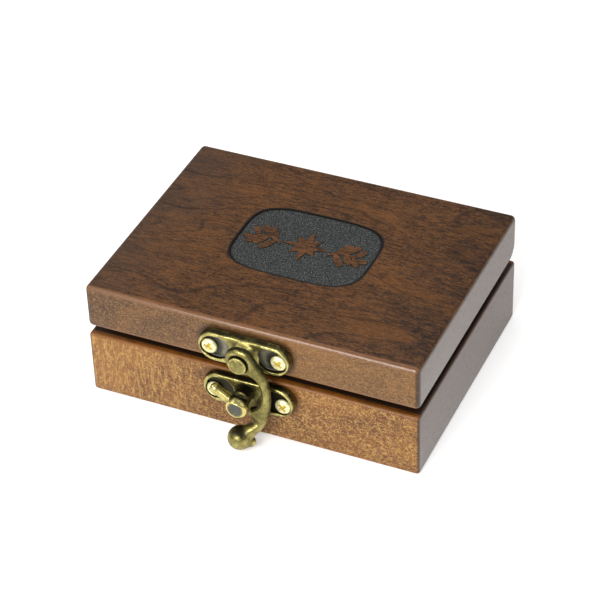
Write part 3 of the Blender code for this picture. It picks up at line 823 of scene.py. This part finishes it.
def plate_wear_and_shade(points, normals, wear_and_painted_light, name="hasp"):
    """Plates get painted shade on their upward-facing upper walls and round the screw heads in
    the pockets; the pockets are left grey and bare.
    """
    out = outward(points)
    facing = -normals[:, 1]
    # painted shade: upward-facing upper walls are darkened
    wall = ramp(out, 2.6, 2.2) * ramp(facing, 0.75, 0.35) * ramp(normals[:, 2], -0.3, 0.6)
    pocket = ramp(out, 1.9, 1.6) * ramp(facing, 0.5, 0.8)
    wear_and_painted_light = np.minimum(wear_and_painted_light, 0.72) - 0.45 * wall
    for side in ("left", "right"):
        # painted shade round each screw head in the pockets
        screw_shade = ramp(reach_from(points, middle(f"{name}_screw_{side}")), 4.6, 3.2)
        wear_and_painted_light = wear_and_painted_light - 0.6 * screw_shade * pocket
        pocket = pocket * (1.0 - 0.7 * screw_shade)
    return wear_and_painted_light, 0.75 * pocket


def strike_wear_and_painted_light(points, normals, wear_and_painted_light):
    """As the plates, with painted shade on top of the peg's neck and in the pockets, a painted
    highlight along the finger beside the peg, and a grey disc on the end of the peg.
    """
    wear_and_painted_light, bare = plate_wear_and_shade(points, normals, wear_and_painted_light, "strike")
    out = outward(points)
    # painted shade on top of the peg's neck
    neck = ramp(out, 2.6, 3.0) * ramp(out, 8.7, 8.1) * ramp(normals[:, 2], 0.1, 0.7)
    near_peg = ramp(np.abs(points[:, 0]) / MM, 3.2, 2.6) * ramp(points[:, 2] / MM, 15.5, 17.0)
    reach = reach_from(points, PEG_END)
    disc = ramp(out, 9.1, 9.25) * ramp(reach, 2.25, 1.95)
    rim = ramp(out, 8.0, 8.5) * ramp(reach, 2.1, 2.4)
    # painted highlight along the finger beside the peg
    guard_highlight = ramp(out, 3.2, 4.0) * ramp(points[:, 0] / MM, -2.5, -4.0)
    wear_and_painted_light = wear_and_painted_light + 0.16 * guard_highlight - 0.75 * neck * near_peg
    # painted shade in the pockets; their grey is also cut back in the return below
    wear_and_painted_light = wear_and_painted_light + 0.30 * rim - 0.45 * disc - 0.60 * bare
    return wear_and_painted_light, np.maximum(0.12 * bare, 0.45 * disc)


def hook_wear_and_shade(points, normals, wear_and_painted_light):
    """Painted shade on the hook: on its upward faces towards the wood and in the dip above its
    knob; the hook is also darker towards the top.
    """
    out = outward(points)
    z = points[:, 2] / MM
    up = ramp(normals[:, 2], 0.25, 0.85)
    back = ramp(out, 6.3, 5.2)
    hollow_shade = ramp(z, 10.0, 7.5) * ramp(z, 4.0, 6.0)
    # painted shade: darker towards the top, and on upward faces near the wood
    wear_and_painted_light = wear_and_painted_light - 0.20 * ramp(z, 8.0, 12.0) - 0.65 * up * back * ramp(z, 10.0, 14.0)
    # painted shade in the dip above the knob
    return wear_and_painted_light - 0.45 * up * hollow_shade, 0.0 * wear_and_painted_light


def make_castings():
    x, z = PIVOT
    boss = rod(FLARE_RADII[0], (x, FRONT - FLARE_OUT[0], z), (x, FRONT - FLARE_OUT[1], z), 64,
               FLARE_RADII[1])
    bore = rod(FLARE_BORE, (x, FRONT, z), (x, FRONT - 5.0 * MM, z), 32)
    flare = from_bmesh("boss_flare", boss)
    combine(flare, [from_bmesh("boss_bore", bore)])
    cast("hasp_plate", "lid", "hasp_casting", CAST_VOXEL, CAST_ROUNDS, plate_wear_and_shade,
         extras=[flare], reshape=melt_flare)
    cast("strike_plate", "base", "strike_casting", CAST_VOXEL, CAST_ROUNDS, strike_wear_and_painted_light,
         reshape=melt_neck)
    cast("swing_hook", "hook", "hook_casting", HOOK_VOXEL, CAST_ROUNDS, hook_wear_and_shade,
         finer=1, reshape=half_round)


def on_front(x, z):
    """Puts local Z along -Y, with its origin on the front face."""
    return Matrix.Translation((x, FRONT, z)) @ Matrix.Rotation(math.pi / 2, 4, 'X')


def turned(name, profile, steps, matrix, finish):
    """A turned piece about local Z, from (radius, height) pairs in metres."""
    bm = bmesh.new()
    rings = []
    for radius, height in profile:
        if radius == 0.0:
            rings.append([bm.verts.new((0.0, 0.0, height))])
            continue
        rings.append([bm.verts.new((radius * math.cos(2 * math.pi * i / steps),
                                    radius * math.sin(2 * math.pi * i / steps), height))
                      for i in range(steps)])
    for a, b in zip(rings, rings[1:]):
        for i in range(steps):
            j = (i + 1) % steps
            if len(a) == 1:
                bm.faces.new((a[0], b[i], b[j]))
            elif len(b) == 1:
                bm.faces.new((a[i], b[0], a[j]))
            else:
                bm.faces.new((a[i], b[i], b[j], a[j]))
    bmesh.ops.transform(bm, matrix=matrix, verts=bm.verts)
    return from_bmesh(name, bm, finish)


def make_rivet():
    low, high = corners("hook_rivet")
    face = FRONT - low.y
    radius = (high.x - low.x) / 2 + RIVET_GROWTH
    profile = [(0.0, face - 0.05 * MM), (radius - 0.55 * MM, face - 0.04 * MM),
               (radius - 0.40 * MM, face), (radius - 0.15 * MM, face - 0.01 * MM),
               (radius - 0.04 * MM, face - 0.09 * MM), (radius, face - 0.25 * MM),
               (radius, face - 0.90 * MM), (RIVET_SHANK, face - 0.90 * MM),
               (RIVET_SHANK, FRONT - high.y), (0.0, FRONT - high.y)]
    rivet = turned("rivet_turned", profile, 64, on_front(*PIVOT), BRASS)

    def wear_at(point):
        out = FRONT - point.y
        reach = math.hypot(point.x - PIVOT[0], point.z - PIVOT[1])
        if out > face - 0.12 * MM and reach > radius - 0.5 * MM:
            return 0.72
        return 0.46 if out > face - 0.1 * MM else 0.0

    paint(rivet, "wear_and_painted_light", wear_at)
    smooth_shade(rivet, 40)
    place(rivet, "lid", "antique_brass", "hook_rivet")


def cross_cutter(centre, face, turn):
    """The tapered four-winged socket of a Phillips screw."""
    bits = []
    for k in range(2):
        bm = block((-1.0, -0.5, -0.5), (1.0, 0.5, 0.5))
        for v in bm.verts:
            deep = v.co.y > 0
            v.co.x *= (0.75 if deep else 1.70) * MM
            v.co.z *= (0.50 if deep else 1.05) * MM
            v.co.y = 1.0 * MM if deep else -0.15 * MM
        matrix = Matrix.Translation((centre[0], FRONT - face, centre[1])) @ \
            Matrix.Rotation(turn + k * math.pi / 2, 4, 'Y')
        bmesh.ops.transform(bm, matrix=matrix, verts=bm.verts)
        bits.append(from_bmesh(f"cross_{k}", bm, PALE))
    return bits


def make_screws():
    turns = {"hasp_screw_left": 0.35, "hasp_screw_right": 0.62, "strike_screw_left": 0.1,
             "strike_screw_right": 0.8}
    for node, turn in turns.items():
        low, high = corners(node)
        centre = middle(node)
        top = FRONT - low.y
        bottom = FRONT - high.y
        r = (high.x - low.x) / 2
        seat = top - PAN_RISE
        profile = [(0.0, top), (0.30 * r, top - 0.01 * MM), (0.55 * r, top - 0.09 * MM),
                   (0.76 * r, top - 0.25 * MM), (0.90 * r, top - 0.47 * MM),
                   (0.98 * r, top - 0.72 * MM), (r, top - 0.92 * MM), (0.985 * r, seat),
                   (0.46 * r, seat), (0.46 * r, bottom + PAN_POINT), (0.0, bottom)]
        screw = turned(node + "_phillips", profile, 48, on_front(*centre), PALE)
        combine(screw, cross_cutter(centre, top, turn))

        # painted shade inside the cross recess, for the pale brass to read
        def recess_shade_at(point):
            reach = math.hypot(point.x - centre[0], point.z - centre[1])
            out = FRONT - point.y
            dome = top - 0.30 * MM * (reach / (0.8 * r)) ** 2
            in_cross = reach < 0.75 * r and top - 1.2 * MM < out < dome - 0.04 * MM
            return 1.0 if in_cross else 0.0

        paint(screw, "recess", recess_shade_at)
        smooth_shade(screw, 40)
        place(screw, "lid" if node.startswith("hasp") else "base", "pale_brass", node)


# ---------------------------------------------------------------- soft and small pieces
def make_lining(node, body, name, up):
    """Felt over a thin pad: crowned by a short cloth simulation, flat on its board side."""
    low, high = corners(node)
    soft_low = (low.x + LINING_INSET, low.y + LINING_INSET,
                low.z if up else low.z + LINING_LOFT)
    soft_high = (high.x - LINING_INSET, high.y - LINING_INSET,
                 high.z - LINING_LOFT if up else high.z)
    bm = block(soft_low, soft_high)
    round_edges(bm, is_upright, CAVITY_CORNER - GAP, 8)
    pad = from_bmesh(name, bm, FELT)
    remesh(pad, LINING_VOXEL)
    start, edges, count = read_mesh(pad.data)
    cloth = pad.modifiers.new("cloth", 'CLOTH')
    cloth.settings.use_pressure = True
    cloth.settings.uniform_pressure_force = 4.0
    cloth.settings.effector_weights.gravity = 0.0
    cloth.settings.tension_stiffness = 8.0
    cloth.settings.bending_stiffness = 0.2
    cloth.point_cache.frame_start = 1
    cloth.point_cache.frame_end = CLOTH_FRAMES
    for number in range(1, CLOTH_FRAMES + 1):
        bpy.context.scene.frame_set(number)
    apply_modifiers(pad)
    bpy.context.scene.frame_set(1)
    points, edges, count = read_mesh(pad.data)
    shift = points - start
    length = np.linalg.norm(shift, axis=1, keepdims=True).clip(1e-9)
    points = start + shift * np.minimum(1.0, LINING_LOFT / length)
    points = relax(points, edges, count, 0.5, 4)
    points = np.clip(points, np.array(low), np.array(high))
    board = low.z if up else high.z
    near_board = np.abs(start[:, 2] - board) < 0.3 * MM
    points[near_board, 2] = board
    pad.data.vertices.foreach_set("co", points.ravel())
    pad.data.update()
    finer = pad.modifiers.new("finer", 'SUBSURF')
    finer.levels = finer.render_levels = 1
    apply_modifiers(pad)
    pad.data.shade_smooth()
    place(pad, body, "lining_felt", node)


def slotted_screw(node, body):
    """Countersunk screw with one slot, its head towards the gap between the boards."""
    low, high = corners(node)
    x, y = (low.x + high.x) / 2, (low.y + high.y) / 2
    up = body == "base"
    head = high.z if up else low.z
    r = (high.x - low.x) / 2
    profile = [(0.0, 0.0), (0.8 * r, 0.0), (0.95 * r, -0.03 * MM), (r, -0.10 * MM),
               (0.5 * r, -0.65 * MM), (0.5 * r, -4.3 * MM), (0.0, -5.5 * MM)]
    matrix = Matrix.Translation((x, y, head))
    if not up:
        matrix = matrix @ Matrix.Rotation(math.pi, 4, 'X')
    screw = turned(node + "_slotted", profile, 32, matrix, BRASS)
    slot = block((-2 * MM, -0.2 * MM, -0.35 * MM), (2 * MM, 0.2 * MM, MM))
    turn = Matrix.Rotation(0.4 + 37.0 * x / MM, 4, 'Z')
    bmesh.ops.transform(slot, matrix=matrix @ turn, verts=slot.verts)
    combine(screw, [from_bmesh("slot", slot, BRASS)])
    paint(screw, "wear_and_painted_light", lambda point: 0.55 if abs(point.z - head) < 0.05 * MM else 0.0)
    smooth_shade(screw, 40)
    place(screw, body, "antique_brass", node)


def make_small_pieces():
    for node, made in NODES.items():
        body = made["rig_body"]
        if node.startswith("hinge_") and node.endswith("_leaf"):
            cast(node, body, node + "_stamped", LEAF_VOXEL, 3)
        elif node.startswith("hinge_") and "_screw_" in node:
            slotted_screw(node, body)
        elif node.startswith("hinge_"):
            recolour(made, BRASS)
        elif node.startswith("bumper_"):
            recolour(made, RUBBER)


# ---------------------------------------------------------------- camera, light, floor
CAMERA_TURN = (25.08, 37.75, -2.08)     # azimuth, elevation and roll in degrees
CAMERA_PLACE = (0.2236, -0.48145, 0.4300)
CAMERA_LENS = 140.56
LIGHT_AIM = Vector((0, 0, 0.02))


def make_camera():
    azimuth, elevation, roll = (math.radians(a) for a in CAMERA_TURN)
    back = Vector((math.sin(azimuth) * math.cos(elevation),
                   -math.cos(azimuth) * math.cos(elevation), math.sin(elevation)))
    right = Vector((0, 0, 1)).cross(back).normalized()
    up = back.cross(right)
    turned_right = right * math.cos(roll) + up * math.sin(roll)
    turned_up = up * math.cos(roll) - right * math.sin(roll)
    data = bpy.data.cameras.new("camera")
    data.sensor_width = 36.0
    data.lens = CAMERA_LENS
    data.clip_start = 0.01
    data.clip_end = 10.0
    camera = bpy.data.objects.new("camera", data)
    matrix = Matrix((turned_right, turned_up, back)).transposed().to_4x4()
    matrix.translation = CAMERA_PLACE
    camera.matrix_world = matrix
    bpy.context.scene.collection.objects.link(camera)
    bpy.context.scene.camera = camera


def soft_light(name, position, size, power):
    data = bpy.data.lights.new(name, 'AREA')
    data.shape = 'RECTANGLE'
    data.size, data.size_y = size
    data.energy = power
    light = bpy.data.objects.new(name, data)
    light.location = position
    heading = LIGHT_AIM - Vector(position)
    light.rotation_euler = heading.to_track_quat('-Z', 'Y').to_euler()
    bpy.context.scene.collection.objects.link(light)


def make_stage():
    bm = bmesh.new()
    bmesh.ops.create_grid(bm, x_segments=1, y_segments=1, size=3.0)
    g = Graph("pale_floor")
    g.set(Base_Color=(0.92, 0.92, 0.92))
    g.shader.inputs["Roughness"].default_value = 0.9
    g.shader.inputs["Specular IOR Level"].default_value = 0.0
    g.shader.inputs["Emission Color"].default_value = (1.0, 1.0, 1.0, 1.0)
    g.shader.inputs["Emission Strength"].default_value = 0.30
    floor = from_bmesh("floor", bm, g.material)
    world = bpy.data.worlds.new("studio")
    world.use_nodes = True
    background = world.node_tree.nodes["Background"]
    background.inputs["Color"].default_value = (1.0, 1.0, 1.0, 1.0)
    background.inputs["Strength"].default_value = 0.32
    bpy.context.scene.world = world
    bpy.context.scene.view_settings.view_transform = 'Standard'
    soft_light("key", (-0.10, -1.05, 0.66), (0.8, 0.5), 15.0)
    soft_light("left", (-0.85, -0.35, 0.75), (0.6, 0.6), 3.5)
    soft_light("right", (0.95, 0.10, 0.75), (0.6, 0.8), 2.8)
    soft_light("overhead", (0.10, 0.25, 1.10), (0.9, 0.7), 3.5)


make_lid()
make_field()
make_base()
make_castings()
make_rivet()
make_screws()
make_lining("base_lining", "base", "base_felt_pad", True)
make_lining("lid_lining", "lid", "lid_felt_pad", False)
make_small_pieces()
make_camera()
make_stage()
